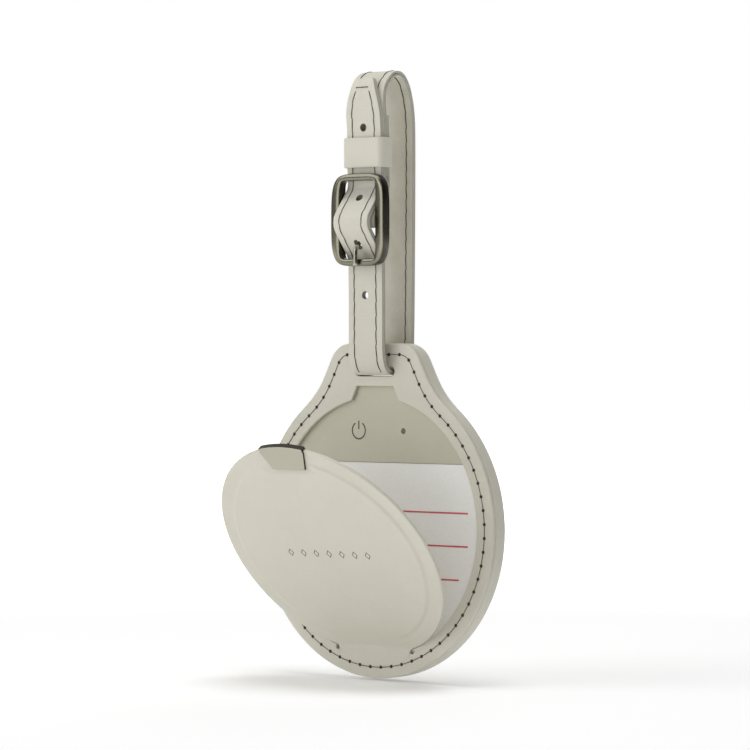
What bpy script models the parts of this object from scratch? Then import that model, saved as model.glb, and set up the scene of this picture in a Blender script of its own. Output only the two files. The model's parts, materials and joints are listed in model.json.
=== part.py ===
"""Luggage tag with a built-in Bluetooth tracker: a stitched leather disc on a buckled strap.

Metres, +Z up, front towards -Y. The origin is inside the top of the strap loop, where the luggage handle bears.
Every shape is drawn in the design frame, an empty at the disc's centre halfway through its thickness, so heights
are above the disc's centre and depths are behind the middle of its thickness. The flap stands part open.
"""

import math

import bmesh
import bpy
from mathutils import Matrix, Vector

# The disc and its neck, seen from the front.
DISC_DROP = 0.1114  # from the origin down to the disc's centre
DISC_RADIUS = 0.0374
NECK_TOP = 0.0454
NECK_CORNER = 0.00675
NECK_LEAN = math.radians(27.5)  # of the neck's sides from upright
FILLET_RADIUS = 0.0236  # where the neck flares into the disc
FILLET_ANGLE = math.radians(52.4)
ARC_STEP = math.radians(7)

# Depths through the disc, front to back.
FRONT = -0.0030
BACK = 0.0030
LEATHER = 0.0010
LID_FRONT = -0.00185
LID_BACK = -0.00105
CARD_FLOOR = -0.00145
TRAY_FRONT = -0.0009
TRAY_FLOOR = 0.00135
TRAY_BACK = 0.00185
BOARD_FRONT = 0.00035
BOARD_BACK = 0.00095
CLEAR = 0.00015  # between pieces that rest on each other
SIDE_WALL = 0.0013
SPACER_INSET = 0.00145

# The window that the flap covers, and the finger notch above it.
WINDOW_RADIUS = 0.0321
NOTCH_TOP = 0.0348
NOTCH_TOP_HALF = 0.0059
NOTCH_FOOT_HALF = 0.0076
SLOT_HALF = 0.0063
SLOT_LOW = 0.0373
SLOT_HIGH = 0.0398

# The flap, cut from the front leather and bent at its foot.
HINGE_HEIGHT = -0.0292
HINGE_DEPTH = -0.0025
FLAP_RADIUS = 0.03185
FLAP_OPEN = math.radians(35.25)
PLY = 0.0005
FLAP_FOOT = -0.0282
CHORD_HEIGHT = -0.0303
RELIEF_AT = (0.0119, -0.0302)
RELIEF_RADIUS = 0.00065
CLIP_FOOT = 0.0256
CLIP_HALF = 0.0069
CLIP_FOOT_HALF = 0.0051
CLIP_RADIUS = 0.03245
CLIP_WALL = 0.0004

# The tracker's housing.
LID_RADIUS = 0.0336
LID_TAB_HALF = 0.0072  # of the lid's tab behind the finger notch
LID_TAB_TOP = 0.0356
TRAY_RADIUS = 0.0312
TRAY_WALL = 0.0010
CARD_RADIUS = 0.0324
CARD_TOP = 0.0159
BUTTON_AT = (-0.0060, 0.0238)
BUTTON_RADIUS = 0.0029
BUTTON_REAR = -0.00075
TRAVEL = 0.0003
LAMP_AT = (0.0083, 0.0238)
LAMP_RADIUS = 0.0006
CARD_THICK = 0.0002
BOARD_RADIUS = 0.0295
BOARD_LOW = 0.0098
ON_BOARD = BOARD_FRONT - CLEAR  # the back of what stands on the board
SCREW_RADIUS = 0.0005
SCREW_HEAD = 0.0010
SCREW_FRONT = -0.0002
SCREW_END = 0.0016
COIL_CENTRE = (0.0, -0.0085)
COIL_RADIUS = 0.0168
COIL_EYE = 0.0095
COIL_FRONT = 0.0008
COIL_BACK = 0.0012
SHEET_MARGIN = 0.0008
SHEET_FRONT = 0.00045
SHEET_BACK = 0.00065
BATTERY_FRONT = -0.0007
BATTERY_BACK = 0.0003
BATTERY_HALF = (0.0170, 0.0125)
SCREWS_AT = ((-0.0215, 0.0125), (0.0215, 0.0125), (0.0, 0.0115))

# The strap: two plies, and its route from behind the keeper over the top, down, through the slot and up to the tip.
STRAP_HALF = 0.0055
STRAP_HALF_THICK = 0.00065
PLY_GAP_HALF = 0.00005
FOLD_CENTRE = 0.00035  # of each ply from the middle of the strap
STRAP_ROUTE = (
    (-4.9, 86.5), (-5.05, 92.0), (-5.1, 98.0), (-5.4, 102.0), (-5.6, 105.0), (-5.3, 107.8),
    (-4.15, 109.8), (-2.25, 111.5), (0.0, 112.05), (1.9, 111.3), (3.6, 109.1), (4.6, 106.5),
    (5.4, 103.0), (5.8, 97.0), (5.8, 80.0), (5.55, 56.0), (5.35, 46.0), (5.1, 42.0),
    (4.4, 39.4), (3.0, 38.3), (0.0, 38.2), (-3.0, 38.25), (-4.4, 39.1), (-5.3, 40.8),
    (-5.75, 43.2), (-5.85, 46.5), (-5.85, 56.0), (-5.95, 62.0), (-5.95, 65.0), (-6.35, 66.9),
    (-7.8, 69.0), (-9.1, 70.7), (-10.4, 72.4), (-11.4, 73.8), (-11.7, 75.2), (-11.4, 76.6),
    (-10.4, 78.0), (-9.1, 79.7), (-7.6, 81.6), (-6.35, 83.5), (-6.15, 85.3), (-6.35, 88.0),
    (-6.5, 92.0), (-6.55, 98.0), (-6.85, 102.0), (-7.05, 105.0), (-6.9, 108.0), (-6.4, 110.5),
)  # (depth, height) in millimetres
SLOT_PASS = 20  # the route point in the middle of the slot
TAPER_START = 0.1015
TIP_HEIGHT = 0.1105
TIP_HALF = 0.0030
TAPER_POWER = 1.6
HOLE_HEIGHTS = (0.0573, 0.0701, 0.0808, 0.0986)
HOLE_RADIUS = 0.0010
PRONG_SLOT = 0.0005  # half the straight length of the oblong hole that the prong passes
TURN_STEP = math.radians(13)

# The fold of the outer ply round the buckle's bar, from its sewn-down end to where it becomes the strap.
FOLD_ROUTE = (
    (-4.2, 101.5), (-4.0, 98.0), (-3.95, 92.0), (-3.95, 89.0), (-3.85, 86.5), (-3.8, 84.0),
    (-4.5, 81.0), (-6.0, 78.4), (-7.05, 76.4), (-7.25, 75.1), (-7.57, 74.32), (-8.35, 74.0),
    (-9.13, 74.32), (-9.45, 75.1), (-9.2, 76.7), (-8.1, 78.7), (-6.3, 80.7), (-5.25, 82.4),
    (-4.95, 84.2), (-5.0, 85.6),
)  # (depth, height) in millimetres

# The keeper and the buckle.
KEEPER_LOW = 0.0887
KEEPER_HIGH = 0.0961
KEEPER_INNER_HALF = 0.0057
KEEPER_FRONT = -0.0076  # inner faces
KEEPER_REAR = -0.00345
KEEPER_WALL = 0.0005
BAR_DEPTH = -0.00835
BAR_HEIGHT = 0.0751
BAR_RADIUS = 0.00065
BAR_HALF = 0.0074
FRAME_FRONT = -0.0098
FRAME_REAR = -0.00705
FRAME_CENTRE = 0.0758
FRAME_HALF = (0.0085, 0.0114)
OPENING_HALF = (0.0057, 0.0096)
FRAME_POWER = 4.5  # of the frame's superellipse; a higher power is squarer
OPENING_POWER = 14.0
FRAME_CORNERS = 44
PRONG_HALF = 0.00065
PRONG_THICK = 0.0007
PRONG_EYE = 0.00115
PRONG_ROUTE = (
    (-7.2, 74.2), (-7.3, 72.9), (-7.65, 71.4), (-8.6, 70.15), (-9.65, 69.1), (-10.25, 67.9),
    (-10.35, 66.4), (-10.35, 64.4),
)  # (depth, height) in millimetres


def material(name, colour, roughness, metallic=0.0):
    made = bpy.data.materials.new(name)
    made.use_nodes = True
    shader = made.node_tree.nodes["Principled BSDF"]
    shader.inputs["Base Color"].default_value = (*colour, 1.0)
    shader.inputs["Roughness"].default_value = roughness
    shader.inputs["Metallic"].default_value = metallic
    return made


def add_empty(name, parent, location=(0.0, 0.0, 0.0), turn=0.0):
    made = bpy.data.objects.new(name, None)
    bpy.context.scene.collection.objects.link(made)
    made.parent = parent
    made.location = location
    made.rotation_euler = (turn, 0.0, 0.0)
    return made


def add_object(name, bm, finish, pivot):
    """Makes the object from a bmesh drawn in the design frame. A pivot other than the design empty is its origin."""
    bmesh.ops.recalc_face_normals(bm, faces=bm.faces)
    if pivot.parent:
        bmesh.ops.translate(bm, verts=bm.verts, vec=-pivot.location)
    mesh = bpy.data.meshes.new(name)
    bm.to_mesh(mesh)
    bm.free()
    mesh.shade_smooth()
    mesh.set_sharp_from_angle(angle=math.radians(35))
    made = bpy.data.objects.new(name, mesh)
    bpy.context.scene.collection.objects.link(made)
    made.parent = pivot
    if finish:
        mesh.materials.append(finish)
    return made


def boolean(target, name, bm, operation="DIFFERENCE"):
    """Cuts a hidden shape, drawn in the design frame, from the target, or joins it on."""
    other = add_object(name, bm, None, target.parent)
    other.hide_render = True
    other.display_type = "WIRE"
    modifier = target.modifiers.new(name, "BOOLEAN")
    modifier.operation = operation
    modifier.object = other


def arc(centre, radius, start, end, step=ARC_STEP):
    """Points (x, z) along an arc, both ends included. Angles run from +X towards +Z."""
    count = max(1, math.ceil(abs(end - start) / step))
    turns = [start + (end - start) * i / count for i in range(count + 1)]
    return [(centre[0] + radius * math.cos(a), centre[1] + radius * math.sin(a)) for a in turns]


def loft(sections):
    """A closed solid through rings of (x, z) points, each at its own depth. All rings have as many points."""
    bm = bmesh.new()
    rings = [[bm.verts.new((x, depth, z)) for x, z in points] for points, depth in sections]
    for first, second in zip(rings, rings[1:]):
        for i in range(len(first)):
            j = (i + 1) % len(first)
            bm.faces.new((first[i], first[j], second[j], second[i]))
    bm.faces.new(rings[0])
    bm.faces.new(rings[-1])
    return bm


def prism(points, front, back):
    return loft([(points, front), (points, back)])


def circle(centre, radius, step=ARC_STEP):
    return arc(centre, radius, 0, math.tau, step)[:-1]


def cylinder(centre, radius, front, back, step=math.radians(20)):
    return prism(circle(centre, radius, step), front, back)


def rectangle(centre, half_wide, half_high):
    x, z = centre
    return [(x + half_wide * a, z + half_high * b) for a, b in ((1, 1), (-1, 1), (-1, -1), (1, -1))]


def mirrored(right_half):
    """The right half of an outline, from the top to the bottom, and its mirror image."""
    return right_half + [(-x, z) for x, z in reversed(right_half)]


def outline(inset):
    """The disc and its neck, this far inside the edge."""
    reach = DISC_RADIUS + FILLET_RADIUS
    fillet = (reach * math.cos(FILLET_ANGLE), reach * math.sin(FILLET_ANGLE))
    side_x = fillet[0] - FILLET_RADIUS * math.cos(NECK_LEAN)
    side_z = fillet[1] - FILLET_RADIUS * math.sin(NECK_LEAN)
    corner_z = NECK_TOP - NECK_CORNER
    touch_z = corner_z + NECK_CORNER * math.sin(NECK_LEAN)
    touch_x = side_x - (touch_z - side_z) * math.tan(NECK_LEAN)
    corner = (touch_x - NECK_CORNER * math.cos(NECK_LEAN), corner_z)
    right = arc(corner, NECK_CORNER - inset, math.pi / 2, NECK_LEAN, ARC_STEP * 2)
    right += arc(fillet, FILLET_RADIUS + inset, NECK_LEAN + math.pi, FILLET_ANGLE + math.pi, ARC_STEP)
    right += arc((0, 0), DISC_RADIUS - inset, FILLET_ANGLE, -math.pi / 2)[1:-1]
    left = [(-x, z) for x, z in reversed(right)]
    return right + [(0.0, inset - DISC_RADIUS)] + left


def slot_outline():
    """The strap's slot, with round ends."""
    radius = (SLOT_HIGH - SLOT_LOW) / 2
    middle = (SLOT_HIGH + SLOT_LOW) / 2
    straight = SLOT_HALF - radius
    right = arc((straight, middle), radius, math.pi / 2, -math.pi / 2, math.radians(30))
    return mirrored(right)


def window_outline():
    """The window under the flap: a circle with the finger notch above it and a chord at the flap's foot."""
    foot = math.sqrt(WINDOW_RADIUS**2 - NOTCH_FOOT_HALF**2)
    start = math.atan2(foot, NOTCH_FOOT_HALF)
    end = math.asin(CHORD_HEIGHT / WINDOW_RADIUS)
    return mirrored([(NOTCH_TOP_HALF, NOTCH_TOP)] + arc((0, 0), WINDOW_RADIUS, start, end))


def lid_outline(grow):
    """The inner cover: a disc with a tab at the top that closes the finger notch."""
    radius = LID_RADIUS + grow
    half = LID_TAB_HALF + grow
    right = [(half, LID_TAB_TOP + grow)] + arc((0, 0), radius, math.acos(half / radius), -math.pi / 2)[:-1]
    return right + [(0.0, -radius)] + [(-x, z) for x, z in reversed(right)]


def segment(radius, low=None, high=None):
    """A disc's outline, cut straight across at a low or a high height."""
    start = math.pi / 2 if high is None else math.asin(high / radius)
    end = -math.pi / 2 if low is None else math.asin(low / radius)
    right = arc((0, 0), radius, start, end)
    whole = mirrored(right)
    if high is None:
        del whole[0]
    if low is None:
        del whole[len(right) - (high is None)]
    return whole


def clip_outline(foot, half, foot_half, radius):
    """The clip: a straight foot, slanting sides and an outer edge that follows the flap's rim."""
    start = math.acos(half / radius)
    rim = arc((0, 0), radius, start, math.pi - start, ARC_STEP / 2)
    return rim + [(-foot_half, foot), (foot_half, foot)]


def smooth(points, bend=TURN_STEP, parts=10):
    """A smooth curve (Catmull-Rom) through (depth, height) points, with a point wherever it has turned by bend."""
    ends = [points[0]] + list(points) + [points[-1]]
    fine = []
    for a, b, c, d in zip(ends, ends[1:], ends[2:], ends[3:]):
        for i in range(parts):
            t = i / parts
            weights = (
                (-t + 2 * t**2 - t**3) / 2,
                (2 - 5 * t**2 + 3 * t**3) / 2,
                (t + 4 * t**2 - 3 * t**3) / 2,
                (-(t**2) + t**3) / 2,
            )
            fine.append(Vector([sum(w * p[k] for w, p in zip(weights, (a, b, c, d))) for k in (0, 1)]))
    fine.append(Vector(points[-1]))
    kept = [fine[0]]
    turned = 0.0
    for before, here, after in zip(fine, fine[1:], fine[2:]):
        turned += (here - before).angle(after - here)
        if turned >= bend:
            kept.append(here)
            turned = 0.0
    return kept + [fine[-1]]


def route(points):
    return smooth([(y / 1000, z / 1000) for y, z in points])


def sides(path, i):
    """The unit normal to the left of a (depth, height) path at point i, lengthened at a corner."""
    before = (path[i] - path[max(i - 1, 0)]).normalized()
    after = (path[min(i + 1, len(path) - 1)] - path[i]).normalized()
    if i == 0:
        before = after
    if i == len(path) - 1:
        after = before
    along = (before + after).normalized()
    normal = Vector((-along.y, along.x))
    return normal / max(normal.dot(Vector((-before.y, before.x))), 0.5)


def offset(path, distance):
    return [p + sides(path, i) * distance for i, p in enumerate(path)]


def ribbon(path, half_thick, half_wide):
    """A band along a (depth, height) path. half_wide gives its half width at each point's number."""
    bm = bmesh.new()
    left = offset(path, half_thick)
    right = offset(path, -half_thick)
    rings = []
    for i in range(len(path)):
        w = half_wide(i)
        corners = ((-w, left[i]), (w, left[i]), (w, right[i]), (-w, right[i]))
        rings.append([bm.verts.new((x, p.x, p.y)) for x, p in corners])
    for first, second in zip(rings, rings[1:]):
        for i in range(4):
            j = (i + 1) % 4
            bm.faces.new((first[i], first[j], second[j], second[i]))
    bm.faces.new(rings[0])
    bm.faces.new(rings[-1])
    return bm


def superellipse(half, power, centre_height, count=FRAME_CORNERS):
    points = []
    for i in range(count):
        a = math.tau * (i + 0.5) / count
        c, s = math.cos(a), math.sin(a)
        x = half[0] * math.copysign(abs(c) ** (2 / power), c)
        z = half[1] * math.copysign(abs(s) ** (2 / power), s)
        points.append((x, centre_height + z))
    return points


def bar_along_x(radius, half, depth, height, count=12):
    bm = bmesh.new()
    turn = Matrix.Translation((0, depth, height)) @ Matrix.Rotation(math.pi / 2, 4, "Y")
    bmesh.ops.create_cone(
        bm, cap_ends=True, segments=count, radius1=radius, radius2=radius, depth=2 * half, matrix=turn
    )
    return bm


def make_materials():
    return {
        "leather": material("leather", (0.60, 0.58, 0.50), 0.6),
        "lining": material("lining", (0.52, 0.49, 0.42), 0.7),
        "metal": material("metal", (0.52, 0.48, 0.38), 0.22, 1.0),
        "cover": material("cover", (0.47, 0.44, 0.36), 0.65),
        "paper": material("paper", (0.78, 0.77, 0.74), 0.8),
        "board": material("board", (0.03, 0.13, 0.07), 0.5),
        "dark": material("dark", (0.03, 0.03, 0.03), 0.5),
        "steel": material("steel", (0.55, 0.55, 0.56), 0.3, 1.0),
        "copper": material("copper", (0.60, 0.28, 0.15), 0.35, 1.0),
        "ceramic": material("ceramic", (0.75, 0.72, 0.62), 0.4),
        "clear": material("clear", (0.80, 0.85, 0.85), 0.15),
        "pouch": material("pouch", (0.55, 0.56, 0.58), 0.35, 0.8),
        "core": material("core", (0.20, 0.19, 0.18), 0.7),
    }


def cut_slot(target):
    boolean(target, target.name + "_slot", prism(slot_outline(), FRONT - 0.002, BACK + 0.002))


def make_leather_disc(tag, looks):
    edge = ((0.0007, FRONT), (0.0002, FRONT + 0.0002), (0.0, FRONT + 0.0005), (0.0002, FRONT + LEATHER))
    front = add_object("front_panel", loft([(outline(i), y) for i, y in edge]), looks["leather"], tag)
    boolean(front, "window", prism(window_outline(), FRONT - 0.001, FRONT + 2 * LEATHER))
    for side in (-1, 1):
        at = (side * RELIEF_AT[0], RELIEF_AT[1])
        bm = cylinder(at, RELIEF_RADIUS, FRONT - 0.001, FRONT + 2 * LEATHER, math.radians(30))
        boolean(front, f"relief_{side}", bm)
    cut_slot(front)

    wall_front = FRONT + LEATHER + CLEAR
    edge = ((0.0002, wall_front), (0.0, wall_front + 0.0003), (0.0, 0.0008), (0.0003, 0.0019), (0.0010, 0.00265),
            (0.0022, BACK))
    back = add_object("back_panel", loft([(outline(i), y) for i, y in edge]), looks["leather"], tag)
    boolean(back, "back_hollow", prism(outline(SIDE_WALL), wall_front - 0.001, BACK - LEATHER))
    cut_slot(back)

    bm = prism(outline(SPACER_INSET), wall_front, BACK - LEATHER - CLEAR)
    spacer = add_object("spacer_frame", bm, looks["core"], tag)
    boolean(spacer, "lid_seat", prism(lid_outline(CLEAR), wall_front - 0.001, TRAY_FRONT))
    boolean(spacer, "tray_bore", cylinder((0, 0), TRAY_RADIUS + CLEAR, FRONT, BACK, ARC_STEP))
    cut_slot(spacer)


def make_flap(flap, looks):
    """Drawn closed, in the plane of the front leather. Its pivot holds it open."""
    skin = prism(segment(FLAP_RADIUS, low=FLAP_FOOT), FRONT, FRONT + PLY)
    add_object("flap_leather", skin, looks["leather"], flap)
    back = FRONT + LEATHER + 0.00005
    lining = prism(segment(FLAP_RADIUS, low=FLAP_FOOT), FRONT + PLY + 0.0001, back)
    inner = add_object("flap_lining", lining, looks["lining"], flap)
    room = 2 * CLEAR
    grown = clip_outline(CLIP_FOOT - CLEAR, CLIP_HALF + 2 * room, CLIP_FOOT_HALF + room, CLIP_RADIUS + 0.001)
    boolean(inner, "clip_clearance", prism(grown, FRONT, FRONT + 2 * LEATHER))

    clip_front = FRONT - CLEAR - CLIP_WALL
    shape = clip_outline(CLIP_FOOT, CLIP_HALF, CLIP_FOOT_HALF, CLIP_RADIUS)
    clip = add_object("flap_clip", prism(shape, clip_front, back), looks["metal"], flap)
    pocket = segment(FLAP_RADIUS + CLEAR, low=CLIP_FOOT - 0.002)
    boolean(clip, "clip_pocket", prism(pocket, FRONT - CLEAR, FRONT + PLY + CLEAR))


def make_cover(tag, looks):
    lid = add_object("inner_cover", prism(lid_outline(0.0), LID_FRONT, LID_BACK), looks["cover"], tag)
    pocket = segment(CARD_RADIUS + CLEAR, high=CARD_TOP + CLEAR)
    boolean(lid, "card_pocket", prism(pocket, LID_FRONT - 0.001, CARD_FLOOR))
    boolean(lid, "button_hole", cylinder(BUTTON_AT, BUTTON_RADIUS + CLEAR, LID_FRONT - 0.001, LID_BACK + 0.001))
    boolean(lid, "lamp_hole", cylinder(LAMP_AT, LAMP_RADIUS + CLEAR, LID_FRONT - 0.001, LID_BACK + 0.001))
    card = prism(segment(CARD_RADIUS, high=CARD_TOP), CARD_FLOOR - CLEAR - CARD_THICK, CARD_FLOOR - CLEAR)
    add_object("id_card", card, looks["paper"], tag)
    add_object("light_pipe", cylinder(LAMP_AT, LAMP_RADIUS, LID_FRONT, BUTTON_REAR), looks["clear"], tag)


def make_tracker(tag, looks):
    """The housing under the inner cover and what is in it, front to back."""
    tray = add_object("housing_tray", cylinder((0, 0), TRAY_RADIUS, TRAY_FRONT, TRAY_BACK, ARC_STEP), looks["dark"], tag)
    hollow = cylinder((0, 0), TRAY_RADIUS - TRAY_WALL, TRAY_FRONT - 0.001, TRAY_FLOOR, ARC_STEP)
    boolean(tray, "tray_hollow", hollow)
    plate = prism(segment(BOARD_RADIUS, low=BOARD_LOW), BOARD_FRONT, BOARD_BACK)
    board = add_object("circuit_board", plate, looks["board"], tag)
    for i, at in enumerate(SCREWS_AT):
        boolean(board, f"screw_hole_{i}", cylinder(at, SCREW_RADIUS + CLEAR, BOARD_FRONT - 0.001, BOARD_BACK + 0.001))
        boolean(tray, f"screw_bore_{i}", cylinder(at, SCREW_RADIUS + CLEAR, 0.0, SCREW_END + CLEAR))
        head = cylinder(at, SCREW_HEAD, SCREW_FRONT, ON_BOARD)
        screw = add_object(f"board_screw_{i + 1}", head, looks["steel"], tag)
        shank = cylinder(at, SCREW_RADIUS, ON_BOARD - 0.0001, SCREW_END)
        boolean(screw, f"screw_shank_{i}", shank, "UNION")
    on_board = (
        ("bluetooth_chip", rectangle((0.0155, 0.0170), 0.0030, 0.0030), -0.0005, "dark"),
        ("chip_antenna", rectangle((-0.0150, 0.0225), 0.0030, 0.0008), -0.0004, "ceramic"),
        ("status_led", rectangle(LAMP_AT, 0.0008, 0.0005), -0.0005, "ceramic"),
        ("tact_switch", rectangle(BUTTON_AT, 0.0018, 0.0018), BUTTON_REAR + TRAVEL + 0.0001, "steel"),
        ("catch_magnet", circle((0, 0.0266), 0.0022, math.radians(20)), -0.0007, "steel"),
        ("piezo_buzzer", circle((-0.0140, 0.0150), 0.0045, math.radians(15)), -0.0006, "ceramic"),
    )
    for name, shape, front, look in on_board:
        add_object(name, prism(shape, front, ON_BOARD), looks[look], tag)
    battery = rectangle(COIL_CENTRE, BATTERY_HALF[0], BATTERY_HALF[1])
    add_object("battery", prism(battery, BATTERY_FRONT, BATTERY_BACK), looks["pouch"], tag)
    sheet = cylinder(COIL_CENTRE, COIL_RADIUS + SHEET_MARGIN, SHEET_FRONT, SHEET_BACK, ARC_STEP)
    add_object("ferrite_sheet", sheet, looks["dark"], tag)
    winding = cylinder(COIL_CENTRE, COIL_RADIUS, COIL_FRONT, COIL_BACK, ARC_STEP)
    coil = add_object("charging_coil", winding, looks["copper"], tag)
    boolean(coil, "coil_eye", cylinder(COIL_CENTRE, COIL_EYE, 0.0, BACK, ARC_STEP))


def make_button(button, looks):
    cap = cylinder(BUTTON_AT, BUTTON_RADIUS, LID_FRONT, BUTTON_REAR, math.radians(15))
    add_object("power_button", cap, looks["cover"], button)


def tip_width(path):
    """The strap's half width at each point of a path that ends at the tip: it narrows above TAPER_START."""
    last_low = max(i for i, p in enumerate(path) if p.y < BAR_HEIGHT)

    def half_wide(i):
        if i < last_low or path[i].y < TAPER_START:
            return STRAP_HALF
        share = (path[i].y - TAPER_START) / (TIP_HEIGHT - TAPER_START)
        return STRAP_HALF + (TIP_HALF - STRAP_HALF) * min(share, 1.0) ** TAPER_POWER

    return half_wide


def hole_cutter(path, height, long_half):
    """A round or oblong hole through the front run at a height, square to the strap there."""
    front_run = [i for i, p in enumerate(path) if i > SLOT_PASS and p.x < -0.003]
    i = min(front_run, key=lambda k: abs(path[k].y - height))
    along = (path[i + 1] - path[i - 1]).normalized()
    here = path[i] + along * ((height - path[i].y) / along.y)
    normal = Vector((-along.y, along.x))
    bm = bmesh.new()
    rings = []
    step = math.radians(22.5)
    lower = arc((0, -long_half), HOLE_RADIUS, math.pi, math.tau, step)
    shape = arc((0, long_half), HOLE_RADIUS, 0, math.pi, step) + (lower if long_half else lower[1:-1])
    for reach in (-0.0009, 0.0009):
        ring = []
        for x, s in shape:
            p = here + along * s + normal * reach
            ring.append(bm.verts.new((x, p.x, p.y)))
        rings.append(ring)
    count = len(rings[0])
    for k in range(count):
        n = (k + 1) % count
        bm.faces.new((rings[0][k], rings[0][n], rings[1][n], rings[1][k]))
    bm.faces.new(rings[0])
    bm.faces.new(rings[1])
    return bm


def make_strap(design, looks):
    middle = route(STRAP_ROUTE)
    fold = route(FOLD_ROUTE)
    half_ply = (STRAP_HALF_THICK - PLY_GAP_HALF) / 2
    outer = offset(middle, FOLD_CENTRE)
    face_path = fold + outer
    face = add_object("strap_face", ribbon(face_path, half_ply, tip_width(face_path)), looks["leather"], design)
    inner_path = offset(middle, -FOLD_CENTRE)
    lining = add_object("strap_lining", ribbon(inner_path, half_ply, tip_width(inner_path)), looks["lining"], design)
    slit = prism(rectangle((0, BAR_HEIGHT - 0.0010), PRONG_HALF + 0.0003, 0.0028), BAR_DEPTH - 0.0020, -0.0060)
    boolean(face, "prong_slit", slit)
    for i, height in enumerate(HOLE_HEIGHTS):
        long_half = PRONG_SLOT if i == 1 else 0.0
        boolean(face, f"face_hole_{i}", hole_cutter(middle, height, long_half))
        boolean(lining, f"lining_hole_{i}", hole_cutter(middle, height, long_half))


def make_keeper(keeper, looks):
    middle = ((KEEPER_FRONT + KEEPER_REAR) / 2, 0.0)
    half_deep = (KEEPER_REAR - KEEPER_FRONT) / 2

    def band(grow, low, high):
        """A rounded rectangle drawn in the plane of the strap's width and depth."""
        corner = 0.0004 + grow
        wide = KEEPER_INNER_HALF + grow - corner
        deep = half_deep + grow - corner
        points = []
        for k, (sx, sy) in enumerate(((1, 1), (-1, 1), (-1, -1), (1, -1))):
            for x, y in arc((sx * wide, sy * deep), corner, k * math.pi / 2, (k + 1) * math.pi / 2, math.radians(30)):
                points.append((x, y))
        bm = bmesh.new()
        rings = [[bm.verts.new((x, middle[0] + y, z)) for x, y in points] for z in (low, high)]
        for i in range(len(points)):
            j = (i + 1) % len(points)
            bm.faces.new((rings[0][i], rings[0][j], rings[1][j], rings[1][i]))
        bm.faces.new(rings[0])
        bm.faces.new(rings[1])
        return bm

    loop = add_object("keeper_loop", band(KEEPER_WALL, KEEPER_LOW, KEEPER_HIGH), looks["leather"], keeper)
    boolean(loop, "keeper_hollow", band(0.0, KEEPER_LOW - 0.002, KEEPER_HIGH + 0.002))


def make_buckle(buckle, prong, looks):
    middle = (FRAME_FRONT + FRAME_REAR) / 2
    ease = 0.0004  # how far the frame's rim is rounded
    halves = ((-ease, FRAME_FRONT), (0.0, FRAME_FRONT + ease), (0.0, FRAME_REAR - ease), (-ease, FRAME_REAR))
    rings = [(superellipse((FRAME_HALF[0] + e, FRAME_HALF[1] + e), FRAME_POWER, FRAME_CENTRE), y) for e, y in halves]
    frame = add_object("buckle_frame", loft(rings), looks["metal"], buckle)
    hole = prism(superellipse(OPENING_HALF, OPENING_POWER, FRAME_CENTRE), FRAME_FRONT - 0.001, FRAME_REAR + 0.001)
    boolean(frame, "buckle_opening", hole)
    boolean(frame, "bar_bore", bar_along_x(BAR_RADIUS + CLEAR, BAR_HALF + CLEAR, BAR_DEPTH, BAR_HEIGHT))
    add_object("buckle_bar", bar_along_x(BAR_RADIUS, BAR_HALF, BAR_DEPTH, BAR_HEIGHT), looks["metal"], buckle)

    tail = ribbon(route(PRONG_ROUTE), PRONG_THICK / 2, lambda i: PRONG_HALF)
    piece = add_object("buckle_prong", tail, looks["metal"], prong)
    eye = bar_along_x(PRONG_EYE + PRONG_THICK / 2, PRONG_HALF, BAR_DEPTH, BAR_HEIGHT, 16)
    boolean(piece, "prong_eye", eye, "UNION")
    boolean(piece, "prong_bore", bar_along_x(BAR_RADIUS + CLEAR, 0.002, BAR_DEPTH, BAR_HEIGHT, 16))


def main():
    for old in list(bpy.data.objects):
        bpy.data.objects.remove(old)
    looks = make_materials()
    design = add_empty("disc_centre", None, (0, 0, -DISC_DROP))
    slot_middle = (SLOT_LOW + SLOT_HIGH) / 2
    tag = add_empty("tag_pivot", design, (0, 0, slot_middle))
    flap = add_empty("flap_pivot", design, (0, HINGE_DEPTH, HINGE_HEIGHT), FLAP_OPEN)
    button = add_empty("button_pivot", design, (BUTTON_AT[0], LID_FRONT, BUTTON_AT[1]))
    bar = (0, BAR_DEPTH, BAR_HEIGHT)
    keeper = add_empty("keeper_pivot", design, (0, (KEEPER_FRONT + KEEPER_REAR) / 2, KEEPER_LOW))
    make_strap(design, looks)
    make_keeper(keeper, looks)
    make_buckle(add_empty("buckle_pivot", design, bar), add_empty("prong_pivot", design, bar), looks)
    make_leather_disc(tag, looks)
    make_flap(flap, looks)
    make_cover(tag, looks)
    make_tracker(tag, looks)
    make_button(button, looks)


main()
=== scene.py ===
"""The looks of a leather luggage tag with a built-in tracker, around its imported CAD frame.

Metres, +Z up, front -Y. Depths and heights in named sizes are measured from the disc's centre, as in the
frame's design; AT moves them there.
"""
import json
import math

import bmesh
import bpy
import numpy as np
from mathutils import Matrix, Vector


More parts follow.
